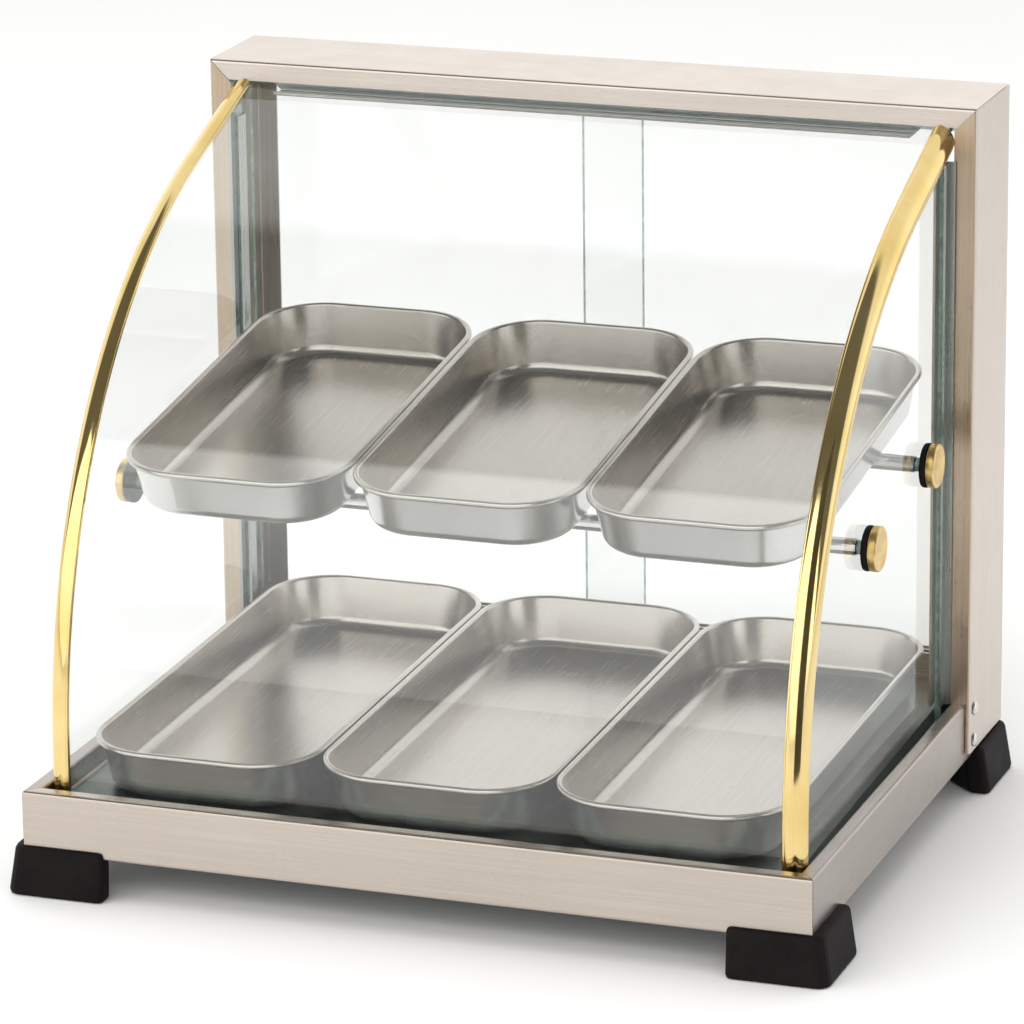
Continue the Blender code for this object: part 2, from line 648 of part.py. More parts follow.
def build_trays():
    """Three long trays on the deck and three shorter ones tilted on the rods."""
    slope = math.atan2(DECK_RISE, DECK_REAR - DECK_FRONT)
    lower_y = (DECK_FRONT + DECK_REAR) / 2 + 0.0005
    lower_z = deck_height(lower_y) + GAP / math.cos(slope)
    run, rise = ROD_REAR[0] - ROD_FRONT[0], ROD_REAR[1] - ROD_FRONT[1]
    tilt = math.atan2(rise, run)
    upper_z = (ROD_FRONT[1] + (UPPER_TRAY_Y - ROD_FRONT[0]) * rise / run
               + (ROD_RADIUS + GAP) / math.cos(tilt))
    rows = (("lower", LOWER_TRAY_LENGTH, lower_y, lower_z, slope),
            ("upper", UPPER_TRAY_LENGTH, UPPER_TRAY_Y, upper_z, tilt))
    for row, length, y, z, angle in rows:
        for index, column in enumerate(("left", "middle", "right")):
            x = TRAY_SHIFT + (index - 1) * TRAY_PITCH
            name = f"tray_{row}_{column}"
            tray = place(name, tray_mesh(name, length), TRAY_STEEL, (x, y, z), (angle, 0, 0))
            sheet = tray.modifiers.new("sheet", "SOLIDIFY")
            sheet.thickness = TRAY_SHEET
            sheet.offset = -1
            sheet.use_even_offset = True


# ---------------------------------------------------------------- sliding doors
def build_doors():
    """Two overlapping glass doors, each with an eyelet to pull it by."""
    for name, side, y, near in (("left", -1, PANE_Y[0], DOOR_NEAR[0]), ("right", 1, PANE_Y[1], DOOR_NEAR[1])):
        far = near + side * DOOR_WIDTH
        x = sorted((near, far))
        origin = (sum(x) / 2, y, DOOR_FOOT)
        half = DOOR_WIDTH / 2
        mesh = box_mesh("door_" + name, (-half, half), (-GLASS / 2, GLASS / 2), (0, DOOR_HEIGHT))
        door = place("door_" + name, mesh, GLAZING, origin)
        hole = cutting_rod("pull_hole_" + name, (side * PULL_X, y, PULL_Z), 0.0125, 0.010, "Y", 20)
        cut(door, hole)
        lip, wall, step = 0.0160, 0.0120, GLASS / 2 + GAP
        profile = [(0.0105, -step - 0.0007), (lip, -step - 0.0007), (lip, -step), (wall, -step),
                   (wall, step), (lip, step), (lip, step + 0.0007), (0.0105, step + 0.0007)]
        turned("door_pull_" + name, profile, DARK_PLASTIC, (side * PULL_X, y, PULL_Z), "Y", 20)


def track(name, low, high, web_up):
    """Double-groove track: a web with three ribs."""
    ribs = (PANE_Y[0] - GLASS / 2 - 0.0022, (PANE_Y[0] + PANE_Y[1] - RIB) / 2,
            PANE_Y[1] + GLASS / 2 + 0.0008)
    base, tip = (high, low) if web_up else (low, high)
    inward = -RIB if web_up else RIB
    points = [(ribs[0], base), (ribs[0], tip)]
    for index, rib in enumerate(ribs):
        if index:
            points += [(rib, base + inward), (rib, tip)]
        points += [(rib + RIB, tip)]
        if index < 2:
            points += [(rib + RIB, base + inward)]
    points += [(ribs[2] + RIB, base)]
    bm = sweep_x(points, WIDTH / 2 - GAP)
    return place(name, to_mesh(bm, name), ALUMINIUM)


def build_tracks():
    """Shallow track on the rear flange and a deep one under the portal's top."""
    low = FLOOR + RIM + GAP
    track("track_bottom", low, FLOOR + 0.0500, web_up=False)
    track("track_top", FLOOR + 0.3720, PORTAL_TOP - PORTAL_SHEET - GAP, web_up=True)


# ---------------------------------------------------------------- heating and controls
def element_route():
    """Three U-turns between four straight legs, seen from above."""
    bend = ELEMENT_LEG / 2
    points = [(-1.5 * ELEMENT_LEG, ELEMENT_ENDS[0])]
    for index in range(3):
        x = (index - 1) * ELEMENT_LEG
        forward = index % 2 == 0
        y = ELEMENT_FRONT if forward else ELEMENT_ENDS[1]
        for step in range(9):
            angle = math.pi * step / 8
            drop = math.sin(angle) * bend * 0.6
            points.append((x - bend * math.cos(angle), y - drop if forward else y + drop))
    points.append((1.5 * ELEMENT_LEG, ELEMENT_ENDS[0]))
    return points


def build_heating():
    """Tubular element on two hat-shaped brackets under the deck."""
    curve = bpy.data.curves.new("heating_element", "CURVE")
    curve.dimensions = "3D"
    curve.bevel_depth = ELEMENT_RADIUS
    curve.bevel_resolution = 2
    curve.use_fill_caps = True
    route = element_route()
    spline = curve.splines.new("POLY")
    spline.points.add(len(route) - 1)
    for point, (x, y) in zip(spline.points, route):
        point.co = (x, y, 0, 1)
    element = bpy.data.objects.new("heating_element", curve)
    parts.objects.link(element)
    element.location = (0, 0, ELEMENT_Z)
    paint(element, SHEATH)

    low = FLOOR + 2 * (SHEET + GAP)
    high = ELEMENT_Z - ELEMENT_RADIUS - GAP
    for name, y in (("front", FRONT + 0.120), ("rear", FRONT + 0.260)):
        path = [(-0.017, low + SHEET), (-0.008, low + SHEET), (-0.006, high), (0.006, high),
                (0.008, low + SHEET), (0.017, low + SHEET)]
        outline = thicken([Vector(p) for p in path], SHEET)
        bm = sweep_x(outline, 0.165)
        place("element_bracket_" + name, to_mesh(bm, "bracket_" + name), ZINC, (0, y, 0))


def build_controls():
    """Thermostat with its dial, pilot lamp, cable gland and terminal block."""
    behind = REAR - SHEET - GAP
    half = 0.0135
    mesh = box_mesh("thermostat", (-half, half), (-0.0235, 0), (-0.0125, 0.0125))
    body = place("thermostat", mesh, PALE_PLASTIC, (DIAL_X, behind, CONTROL_Z))
    bevel(body, 0.0015)
    cut(body, cutting_rod("spindle_socket", (DIAL_X, behind, CONTROL_Z), 0.0035, 0.012, "Y", 20))

    spindle = [(0, -0.0055), (0.003, -0.0055), (0.003, 0.0125), (0.0025, 0.0130), (0, 0.0130)]
    turned("thermostat_spindle", spindle, TRAY_STEEL, (DIAL_X, REAR, CONTROL_Z), "Y", 20)
    knob = [(0.0034, 0.0), (0.0140, 0.0), (0.0145, 0.0006), (0.0145, 0.0035), (0.0125, 0.0050),
            (0.0118, 0.0160), (0.0105, 0.0180), (0, 0.0180), (0, 0.0135), (0.0034, 0.0135)]
    base = REAR + 0.0008
    dial = turned("thermostat_knob", knob[8:] + knob[:8], DARK_PLASTIC,
                  (DIAL_X, base, CONTROL_Z), "Y", 24)
    ridge = bmesh.new()
    add_box(ridge, (DIAL_X - 0.0016, DIAL_X + 0.0016), (base + 0.0165, base + 0.0187),
            (CONTROL_Z, CONTROL_Z + 0.0098))
    cut(dial, new_cutter("pointer_ridge", ridge), "UNION")

    lamp = [(0, -0.0150), (0.0045, -0.0150), (0.0050, -0.0140), (0.0050, 0.0003), (0.0075, 0.0003),
            (0.0075, 0.0018), (0.0062, 0.0024), (0.0055, 0.0048), (0.0030, 0.0064), (0, 0.0069)]
    turned("pilot_lamp", lamp, AMBER, (LAMP_X, REAR, CONTROL_Z), "Y", 24)

    outer, inner = GAP, -SHEET - GAP
    gland = [(0.0040, -0.0110), (0.0072, -0.0110), (0.0078, inner - 0.0045), (0.0110, inner - 0.0045),
             (0.0110, inner), (0.0077, inner), (0.0077, outer), (0.0115, outer), (0.0115, 0.0050),
             (0.0095, 0.0060), (0.0080, 0.0130), (0.0055, 0.0145), (0.0040, 0.0145)]
    turned("cable_gland", gland, DARK_PLASTIC, (GLAND_X, REAR, CONTROL_Z), "Y", 16)

    low = 2 * (SHEET + GAP)
    mesh = box_mesh("terminal_block", (-0.015, 0.015), (-0.009, 0.009), (0, 0.014))
    block = place("terminal_block", mesh, PALE_PLASTIC, (0.110, FRONT + 0.332, FLOOR + low))
    bevel(block, 0.0010)
    wells = bmesh.new()
    for index in range(-1, 2):
        add_rod(wells, (0.110 + index * 0.009, FRONT + 0.332, FLOOR + low + 0.014), 0.0025, 0.016, sides=16)
    cut(block, new_cutter("terminal_wells", wells))


# ---------------------------------------------------------------- assembly
clear_scene()
parts = new_collection("hot_food_display_case")
cutters = new_collection("cutters")

build_base_rim()
build_bottom_cover()
build_deck()
build_feet()
build_portal()
build_front_glass()
build_side_glass()
build_side_gaskets()
build_trims()
build_top_clip()
build_rods()
build_trays()
build_doors()
build_tracks()
build_heating()
build_controls()
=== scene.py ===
"""Looks of a countertop hot food display case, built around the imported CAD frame."""
import math

import bmesh
import bpy
from mathutils import Matrix, Vector


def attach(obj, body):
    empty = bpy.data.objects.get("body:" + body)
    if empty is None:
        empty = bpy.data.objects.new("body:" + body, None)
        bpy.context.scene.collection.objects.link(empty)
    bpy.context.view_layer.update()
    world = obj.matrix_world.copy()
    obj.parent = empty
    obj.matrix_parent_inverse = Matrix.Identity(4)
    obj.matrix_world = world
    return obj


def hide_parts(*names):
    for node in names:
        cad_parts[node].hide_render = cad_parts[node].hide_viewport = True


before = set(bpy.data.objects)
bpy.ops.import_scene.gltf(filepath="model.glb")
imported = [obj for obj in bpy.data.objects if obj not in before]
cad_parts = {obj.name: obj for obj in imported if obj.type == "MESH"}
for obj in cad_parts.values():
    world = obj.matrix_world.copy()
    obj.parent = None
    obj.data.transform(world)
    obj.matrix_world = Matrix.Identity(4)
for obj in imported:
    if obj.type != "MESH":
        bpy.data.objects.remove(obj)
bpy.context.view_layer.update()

# ---------------------------------------------------------------- sizes shared with the CAD
GAP = 0.0003
FRONT = -0.1990              # front face of the base
FLOOR, SEAT = 0.025, 0.024   # underside of the base, and the glass seat above it
GLASS, PANE_X = 0.004, 0.2170
ARC_Y, ARC_Z, ARC_RADIUS = FRONT + 0.3366, FLOOR + 0.0548, 0.3183
ARC_END = math.radians(70.6)
GLASS_TOP_Y, TRIM_TOP_Y = FRONT + 0.3225, FRONT + 0.3102
TRIM_FOOT = FLOOR + SEAT + 0.0018
TRIM_HALF, TRIM_LEG, TRIM_RADIUS, TRIM_NOSE = 0.2251, 0.0127, 0.3220, 0.0102
ROD_RADIUS = 0.00475
ROD_FRONT = (FRONT + 0.1460, FLOOR + 0.1813)
ROD_REAR = (FRONT + 0.2647, FLOOR + 0.1965)
KNOB_RADIUS, KNOB_THICK, WASHER_THICK = 0.013, 0.0052, 0.0036
TRAY_WIDTH, TRAY_PITCH, TRAY_SHIFT = 0.139, 0.1400, -0.0030
TRAY_HEIGHT, TRAY_CORNER, TRAY_SHEET = 0.031, 0.041, 0.0007
LOWER_TRAY_LENGTH, UPPER_TRAY_LENGTH = 0.334, 0.270
UPPER_TRAY_Y = FRONT + 0.2159
DECK_FRONT, DECK_REAR = FRONT + 0.0230, FRONT + 0.3565
DECK_LOW, DECK_RISE = FLOOR + 0.0275, 0.0070


# ---------------------------------------------------------------- material graph helpers
class Graph:
    """A material and short ways to wire its nodes."""

    def __init__(self, name):
        self.material = bpy.data.materials.new(name)
        self.material.use_nodes = True
        self.tree = self.material.node_tree
        self.tree.nodes.clear()
        self.output = self.tree.nodes.new("ShaderNodeOutputMaterial")

    def add(self, kind, inputs=None, **settings):
        node = self.tree.nodes.new("ShaderNode" + kind)
        for key, value in settings.items():
            setattr(node, key, value)
        for key, value in (inputs or {}).items():
            if isinstance(value, bpy.types.NodeSocket):
                self.tree.links.new(value, node.inputs[key])
            else:
                node.inputs[key].default_value = value
        return node

    def place(self, stretch=(1, 1, 1), turn=(0, 0, 0)):
        """Object coordinates in metres, stretched along a grain."""
        coords = self.add("TexCoord").outputs["Object"]
        return self.add("Mapping", {"Vector": coords, "Scale": stretch, "Rotation": turn}).outputs[0]

    def noise(self, where, scale, detail=3.0, rough=0.55):
        return self.add("TexNoise", {"Vector": where, "Scale": scale, "Detail": detail,
                                     "Roughness": rough}).outputs["Fac"]

    def spread(self, value, low, high, start=0.3, end=0.7):
        """A pattern's values from start to end, spread over low to high."""
        return self.add("MapRange", {"Value": value, "From Min": start, "From Max": end,
                                     "To Min": low, "To Max": high}).outputs["Result"]

    def ramp(self, value, *stops):
        node = self.add("ValToRGB", {"Fac": value})
        elements = node.color_ramp.elements
        while len(elements) < len(stops):
            elements.new(0.5)
        for element, (at, colour) in zip(elements, stops):
            element.position = at
            element.color = (*colour, 1.0)
        return node.outputs["Color"]

    def blend(self, factor, a, b, kind="MIX"):
        node = self.add("Mix", {"Factor": factor}, data_type="RGBA", blend_type=kind)
        for socket, value in ((node.inputs[6], a), (node.inputs[7], b)):
            if isinstance(value, bpy.types.NodeSocket):
                self.tree.links.new(value, socket)
            else:
                socket.default_value = (*value, 1.0)
        return node.outputs[2]

    def total(self, a, b, kind="ADD"):
        return self.add("Math", {0: a, 1: b}, operation=kind).outputs[0]

    def bump(self, height, distance, strength=1.0, after=None):
        inputs = {"Height": height, "Distance": distance, "Strength": strength}
        if after:
            inputs["Normal"] = after
        return self.add("Bump", inputs).outputs[0]

    def finish(self, shader):
        self.tree.links.new(shader, self.output.inputs["Surface"])
        return self.material

    def principled(self, **inputs):
        named = {key.replace("_", " "): value for key, value in inputs.items()}
        for key, value in named.items():
            if isinstance(value, tuple) and len(value) == 3:
                named[key] = (*value, 1.0)
        return self.finish(self.add("BsdfPrincipled", named).outputs[0])


ALONG = {"X": (0.6, 160, 160), "Y": (160, 0.6, 160), "Z": (160, 160, 0.6)}


def brushed(name, grain, dark, light, low=0.26, high=0.38, depth=0.00002, wear=0.05):
    """Brushed sheet metal: fine streaks along a grain, cloudy tone and a few rubbed places."""
    g = Graph(name)
    streaks = g.noise(g.place(ALONG[grain]), 18.0, 4.0, 0.60)
    broad = g.noise(g.place(tuple(s / 3 + 0.2 for s in ALONG[grain])), 12.0, 3.0)
    cloud = g.noise(g.place(), 7.0, 3.0)
    rubbed = g.noise(g.place(), 42.0, 6.0, 0.7)
    tone = g.total(g.total(streaks, 0.65, "MULTIPLY"), g.total(broad, 0.35, "MULTIPLY"))
    colour = g.ramp(tone, (0.34, dark), (0.66, light))
    colour = g.blend(g.spread(cloud, 0.0, 0.30), colour, tuple(c * 0.94 for c in dark), "MIX")
    rough = g.total(g.spread(streaks, low, high), g.spread(rubbed, -0.6 * wear, wear, 0.4, 0.7))
    normal = g.bump(streaks, depth, 0.9)
    return g.principled(Base_Color=colour, Metallic=1.0, Roughness=rough, Normal=normal)


def polished(name, dark, light, low, high, grain, streak=0.00002):
    """Polished plated metal: faint draw lines, slightly duller patches, tarnish in places."""
    g = Graph(name)
    lines = g.noise(g.place(ALONG[grain]), 26.0, 4.0, 0.6)
    cloud = g.noise(g.place(), 16.0, 4.0, 0.6)
    spots = g.noise(g.place(), 260.0, 3.0, 0.6)
    colour = g.ramp(g.total(g.total(lines, 0.35, "MULTIPLY"), g.total(cloud, 0.65, "MULTIPLY")),
                    (0.36, dark), (0.62, light))
    rough = g.total(g.spread(cloud, low, high), g.spread(spots, 0.0, 0.04, 0.5, 0.75))
    return g.principled(Base_Color=colour, Metallic=1.0, Roughness=rough,
                        Normal=g.bump(lines, streak, 0.8))


def turned_metal(name, dark, light, low, high):
    """Machined metal with concentric turning marks round the piece's own axis."""
    g = Graph(name)
    flat = g.add("VectorMath", {0: g.place((1, 1, 0))}, operation="LENGTH").outputs["Value"]
    rings = g.add("TexNoise", {"W": flat, "Scale": 5200.0, "Detail": 2.0},
                  noise_dimensions="1D").outputs["Fac"]
    cloud = g.noise(g.place(), 130.0, 3.0)
    colour = g.ramp(g.total(g.total(rings, 0.4, "MULTIPLY"), g.total(cloud, 0.6, "MULTIPLY")),
                    (0.36, dark), (0.64, light))
    return g.principled(Base_Color=colour, Metallic=1.0, Roughness=g.spread(rings, low, high),
                        Normal=g.bump(rings, 0.00003, 0.7))


def moulded(name, dark, light, low, high, grain=900.0, depth=0.00005, shine=0.5):
    """Moulded rubber or plastic: fine pebbled skin, dusty patches, scuffs."""
    g = Graph(name)
    skin = g.noise(g.place(), grain, 3.0, 0.6)
    dust = g.noise(g.place(), 24.0, 5.0, 0.65)
    scuffs = g.noise(g.place((1, 3, 1)), 120.0, 6.0, 0.72)
    colour = g.ramp(g.total(g.total(dust, 0.7, "MULTIPLY"), g.total(scuffs, 0.3, "MULTIPLY")),
                    (0.38, dark), (0.66, light))
    rough = g.total(g.spread(dust, low, high), g.spread(scuffs, -0.05, 0.05))
    return g.principled(Base_Color=colour, Roughness=rough, Specular_IOR_Level=shine,
                        Normal=g.bump(skin, depth, 0.8))


def glazing(name, tint, share=1.9):
    """Clear float glass seen from both sides: gloss by angle, a breath of dust and wipe marks."""
    g = Graph(name)
    wipes = g.noise(g.place((1.0, 1.0, 0.35), (0.2, 0.5, 0.3)), 13.0, 5.0, 0.62)
    dust = g.noise(g.place(), 420.0, 2.0)
    veil = g.total(g.spread(wipes, 0.004, 0.020, 0.42, 0.72), g.spread(dust, 0.0, 0.006, 0.55, 0.75))
    clear = g.add("BsdfTransparent", {"Color": (*tint, 1.0)}).outputs[0]
    haze = g.add("BsdfDiffuse", {"Color": (0.86, 0.88, 0.87, 1.0)}).outputs[0]
    clear = g.add("MixShader", {0: veil, 1: clear, 2: haze}).outputs[0]
    gloss = g.add("BsdfGlossy", {"Color": (0.96, 0.98, 0.97, 1.0),
                                 "Roughness": g.spread(wipes, 0.0, 0.035, 0.45, 0.8)}).outputs[0]
    angle = g.add("Fresnel", {"IOR": 1.52}).outputs[0]
    outside = g.total(1.0, g.add("NewGeometry").outputs["Backfacing"], "SUBTRACT")
    amount = g.total(g.total(angle, share, "MULTIPLY"), outside, "MULTIPLY")
    return g.finish(g.add("MixShader", {0: amount, 1: clear, 2: gloss}).outputs[0])


def glass_edge(name):
    """Ground and seamed glass edge, green from the glass behind it."""
    g = Graph(name)
    ripple = g.noise(g.place(), 160.0, 4.0)
    colour = g.ramp(ripple, (0.34, (0.14, 0.27, 0.22)), (0.66, (0.34, 0.50, 0.44)))
    return g.principled(Base_Color=colour, Roughness=g.spread(ripple, 0.14, 0.34), IOR=1.5,
                        Coat_Weight=0.4, Normal=g.bump(ripple, 0.00008, 0.5))


def galvanised(name):
    """Warming plate: dull zinc-grey sheet with a faint spangle and wiped streaks."""
    g = Graph(name)
    cells = g.add("TexVoronoi", {"Vector": g.place(), "Scale": 115.0}).outputs["Color"]
    spangle = g.add("SeparateXYZ", {0: cells}).outputs[0]
    grit = g.noise(g.place((1, 0.35, 1)), 900.0, 3.0, 0.7)
    cloud = g.noise(g.place((1, 0.4, 1)), 14.0, 5.0, 0.6)
    tone = g.total(g.total(spangle, 0.16, "MULTIPLY"), g.total(cloud, 0.5, "MULTIPLY"))
    tone = g.total(tone, g.total(grit, 0.34, "MULTIPLY"))
    colour = g.ramp(tone, (0.36, (0.08, 0.094, 0.089)), (0.60, (0.15, 0.170, 0.160)))
    return g.principled(Base_Color=colour, Metallic=0.85, Roughness=g.spread(tone, 0.24, 0.42),
                        Normal=g.bump(grit, 0.00004, 0.6))


def lens(name):
    """Moulded amber signal lens with fine inner facets."""
    g = Graph(name)
    facets = g.add("TexVoronoi", {"Vector": g.place(), "Scale": 900.0}).outputs["Distance"]
    depth = g.noise(g.place(), 300.0, 2.0)
    colour = g.ramp(depth, (0.35, (0.55, 0.13, 0.01)), (0.65, (0.90, 0.33, 0.03)))
    return g.principled(Base_Color=colour, Roughness=g.spread(depth, 0.08, 0.20), Coat_Weight=0.6,
                        Normal=g.bump(facets, 0.0002, 0.5))


STEEL_DARK, STEEL_LIGHT = (0.585, 0.520, 0.462), (0.70, 0.632, 0.572)
TRAY_DARK, TRAY_LIGHT = (0.60, 0.595, 0.58), (0.70, 0.695, 0.68)
steel_x = brushed("steel_grain_x", "X", STEEL_DARK, STEEL_LIGHT)
steel_z = brushed("steel_grain_z", "Z", STEEL_DARK, STEEL_LIGHT)
# Base front: a darker copy of the grain-x steel, painted shade.
steel_base_painted_shade = brushed("steel_grain_x_base_painted_shade", "X", (0.50, 0.44, 0.385), (0.61, 0.545, 0.48))
# Column inward faces: a darker copy of the column steel, painted shade.
steel_inner_painted_shade = brushed("steel_grain_z_inner_painted_shade", "Z", (0.33, 0.335, 0.32), (0.50, 0.505, 0.49))
# Base side panels: a darker copy of the steel, painted shade.
steel_painted_shade = brushed("steel_grain_y_painted_shade", "Y", (0.39, 0.35, 0.325), (0.48, 0.435, 0.405))
# Column fronts: a darker, warmer copy of the column steel, painted shade.
steel_lip_painted_shade = brushed("steel_grain_z_lip_painted_shade", "Z", (0.44, 0.34, 0.25), (0.58, 0.47, 0.36))
zinc = galvanised("zinc_plate")
gold = polished("gold_trim_polish", (0.74, 0.54, 0.19), (0.86, 0.68, 0.33), 0.05, 0.11, "Z", 0.000004)
brass = turned_metal("brass_turned", (0.62, 0.43, 0.15), (0.84, 0.65, 0.32), 0.30, 0.42)
rod_steel = polished("rod_steel", (0.60, 0.60, 0.59), (0.80, 0.79, 0.77), 0.14, 0.24, "X")
bright = polished("bright_fasteners", (0.55, 0.55, 0.54), (0.78, 0.77, 0.75), 0.16, 0.28, "Z")
tray_outside = brushed("tray_satin_outside", "Y", TRAY_DARK, TRAY_LIGHT, 0.18, 0.24, 0.000002, 0.012)
# Tray inner faces: a darker, warmer copy of the tray steel, painted shade inside the pan.
tray_inside_painted_shade = brushed("tray_satin_inside_painted_shade", "Y", (0.48, 0.45, 0.41), (0.54, 0.51, 0.47),
                      0.22, 0.28, 0.000002, 0.012)
aluminium = brushed("aluminium_section", "X", (0.46, 0.48, 0.465), (0.60, 0.62, 0.605),
                    0.24, 0.34, 0.00001, 0.02)
# Side channels: darker than the aluminium sections, painted shade.
channel_painted_shade = brushed("pane_channel_painted_shade", "Z", (0.30, 0.32, 0.30), (0.42, 0.44, 0.42), 0.24, 0.36, 0.00001)
rubber = moulded("foot_rubber", (0.0055, 0.004, 0.0045), (0.013, 0.010, 0.010),
                 0.46, 0.62, 1300.0, 0.00006, 0.07)
dark_plastic = moulded("dark_plastic", (0.020, 0.021, 0.021), (0.060, 0.062, 0.060), 0.34, 0.50)
pale_plastic = moulded("pale_plastic", (0.62, 0.59, 0.52), (0.76, 0.73, 0.66), 0.36, 0.50)
amber = lens("amber_lens")
sheath = brushed("element_sheath", "X", (0.13, 0.12, 0.11), (0.26, 0.24, 0.22), 0.40, 0.60)
pane_clear = glazing("pane_clear", (0.990, 0.995, 0.993))
pane_side = glazing("pane_side", (0.990, 0.995, 0.993), 0.9)
pane_edge = glass_edge("pane_edge")


# ---------------------------------------------------------------- mesh helpers
def smooth(obj, degrees=35):
    """Round shading on curved faces, crisp shading on folds and edges."""
    obj.data.shade_smooth()
    obj.data.set_sharp_from_angle(angle=math.radians(degrees))


def piece(name, bm, materials, body="case", replaces=(),
          at=(0, 0, 0), turn=(0, 0, 0), sharp=35):
    """Turn a bmesh into a named piece that rides on a body."""
    bmesh.ops.recalc_face_normals(bm, faces=bm.faces)
    mesh = bpy.data.meshes.new(name)
    bm.to_mesh(mesh)
    bm.free()
    obj = bpy.data.objects.new(name, mesh)
    bpy.context.scene.collection.objects.link(obj)
    obj.location, obj.rotation_euler = at, turn
    for material in materials:
        mesh.materials.append(material)
    if sharp:
        smooth(obj, sharp)
    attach(obj, body)
    if replaces:
        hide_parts(*replaces)
    return obj


def loft(bm, rings, closed=True, material=0):
    """Join rings of points, each the same length, with quads."""
    rows = [[bm.verts.new(p) for p in ring] for ring in rings]
    for low, high in zip(rows, rows[1:]):
        count = len(low)
        for i in range(count if closed else count - 1):
            j = (i + 1) % count
            face = bm.faces.new((low[i], low[j], high[j], high[i]))
            face.material_index = material
    return rows


def lathe(profile, steps=64):
    """Revolve (radius, height) points round the local Z axis."""
    bm = bmesh.new()
    rings = []
    for radius, height in profile:
        rings.append([(radius * math.cos(a), radius * math.sin(a), height)
                      for a in (2 * math.pi * i / steps for i in range(steps))])
    loft(bm, rings)
    bmesh.ops.remove_doubles(bm, verts=bm.verts, dist=0.000001)
    return bm


AXIS = {"X": (0, math.pi / 2, 0), "-X": (0, -math.pi / 2, 0)}    # turns of a lathed piece


# ---------------------------------------------------------------- finishes of the CAD nodes
def finish_node(name, *materials, edge_axis=None):
    """Give a CAD node its materials; edge_axis picks the second one for faces off that axis."""
    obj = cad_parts[name]
    mesh = obj.data
    mesh.materials.clear()
    for material in materials:
        mesh.materials.append(material)
    for face in mesh.polygons:
        off = edge_axis is not None and abs(face.normal[edge_axis]) < 0.5
        face.material_index = 1 if off else 0
    smooth(obj)


FINISHES = {
    "base_front_panel": steel_base_painted_shade, "base_rear_panel": steel_x, "base_left_panel": steel_painted_shade,
    "base_right_panel": steel_painted_shade, "frame_top": steel_x, "frame_left": steel_z, "frame_right": steel_z,
    "bottom_cover": zinc, "deck_plate": zinc, "glass_top_clip": aluminium, "track_bottom": aluminium,
    "track_top": aluminium, "rod_front": rod_steel, "rod_rear": rod_steel,
    "side_gasket_left": channel_painted_shade, "side_gasket_right": channel_painted_shade,
    "door_pull_left": dark_plastic, "door_pull_right": dark_plastic,
    "heating_element": sheath, "element_bracket_front": zinc, "element_bracket_rear": zinc,
    "thermostat": dark_plastic, "thermostat_spindle": bright, "thermostat_knob": dark_plastic,
    "pilot_lamp": amber, "cable_gland": dark_plastic, "terminal_block": pale_plastic,
}
for corner in ("fl", "fr", "rl", "rr"):
    FINISHES["foot_" + corner] = rubber
    FINISHES["foot_screw_" + corner] = bright
for side in ("left", "right"):
    for place_name in ("lower", "upper"):
        FINISHES[f"rivet_{side}_{place_name}"] = bright
for node_name, node_material in FINISHES.items():
    finish_node(node_name, node_material)
# Column fronts and inward faces take darker copies of the same steel, chosen by face direction: painted
# shade.
for column in ("frame_left", "frame_right"):
    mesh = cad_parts[column].data
    mesh.materials.append(steel_lip_painted_shade)
    mesh.materials.append(steel_inner_painted_shade)
    inward = 1 if column == "frame_left" else -1
    for face in mesh.polygons:
        face.material_index = 1 if face.normal.y < -0.9 else 2 if face.normal.x * inward > 0.9 else 0
for corner in ("fl", "fr", "rl", "rr"):
    soft_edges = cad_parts["foot_" + corner].modifiers.new("soft_edges", "BEVEL")
    soft_edges.width, soft_edges.segments, soft_edges.limit_method = 0.0022, 4, "ANGLE"
    soft_edges.angle_limit = math.radians(24)
for node_name, axis in (("side_glass_left", 0), ("side_glass_right", 0),
                        ("door_left", 1), ("door_right", 1)):
    finish_node(node_name, pane_side, pane_edge, edge_axis=axis)


# ---------------------------------------------------------------- curved glass
def front_curve(radius, foot_z, y_end, steps=84):
    """(y, z) points up a straight foot, round the front curve and straight on to y_end."""
    points = [(ARC_Y - radius, foot_z)]
    for step in range(steps + 1):
        angle = ARC_END * step / steps
        points.append((ARC_Y - radius * math.cos(angle), ARC_Z + radius * math.sin(angle)))
    y, z = points[-1]
    return points + [(y + (y_end - y) * k / 6, z + (y_end - y) * k / 6 / math.tan(ARC_END))
                     for k in range(1, 7)]


def build_front_glass():
    """Curved pane with ground edges, finer than the CAD's sweep."""
    foot, chamfer = FLOOR + SEAT + GAP, 0.0004
    inner_top = GLASS_TOP_Y + GLASS * math.cos(ARC_END)
    half = PANE_X + GLASS
    section = ((-half + chamfer, 0.0), (half - chamfer, 0.0), (half, chamfer), (half, GLASS - chamfer),
               (half - chamfer, GLASS), (-half + chamfer, GLASS), (-half, GLASS - chamfer),
               (-half, chamfer))
    curves = [(x, front_curve(ARC_RADIUS - depth, foot,
                              GLASS_TOP_Y + (inner_top - GLASS_TOP_Y) * depth / GLASS))
              for x, depth in section]
    bm = bmesh.new()
    rows = loft(bm, [[(x, *curve[i]) for x, curve in curves] for i in range(len(curves[0][1]))])
    bm.faces.new(rows[0])
    bm.faces.new(rows[-1])
    broad = 2 * half - 3 * chamfer
    for face in bm.faces:
        xs = [v.co.x for v in face.verts]
        face.material_index = 0 if max(xs) - min(xs) > broad and len(face.verts) == 4 else 1
    piece("curved_front_pane", bm, [pane_clear, pane_edge], replaces=["front_glass"],
          sharp=40)


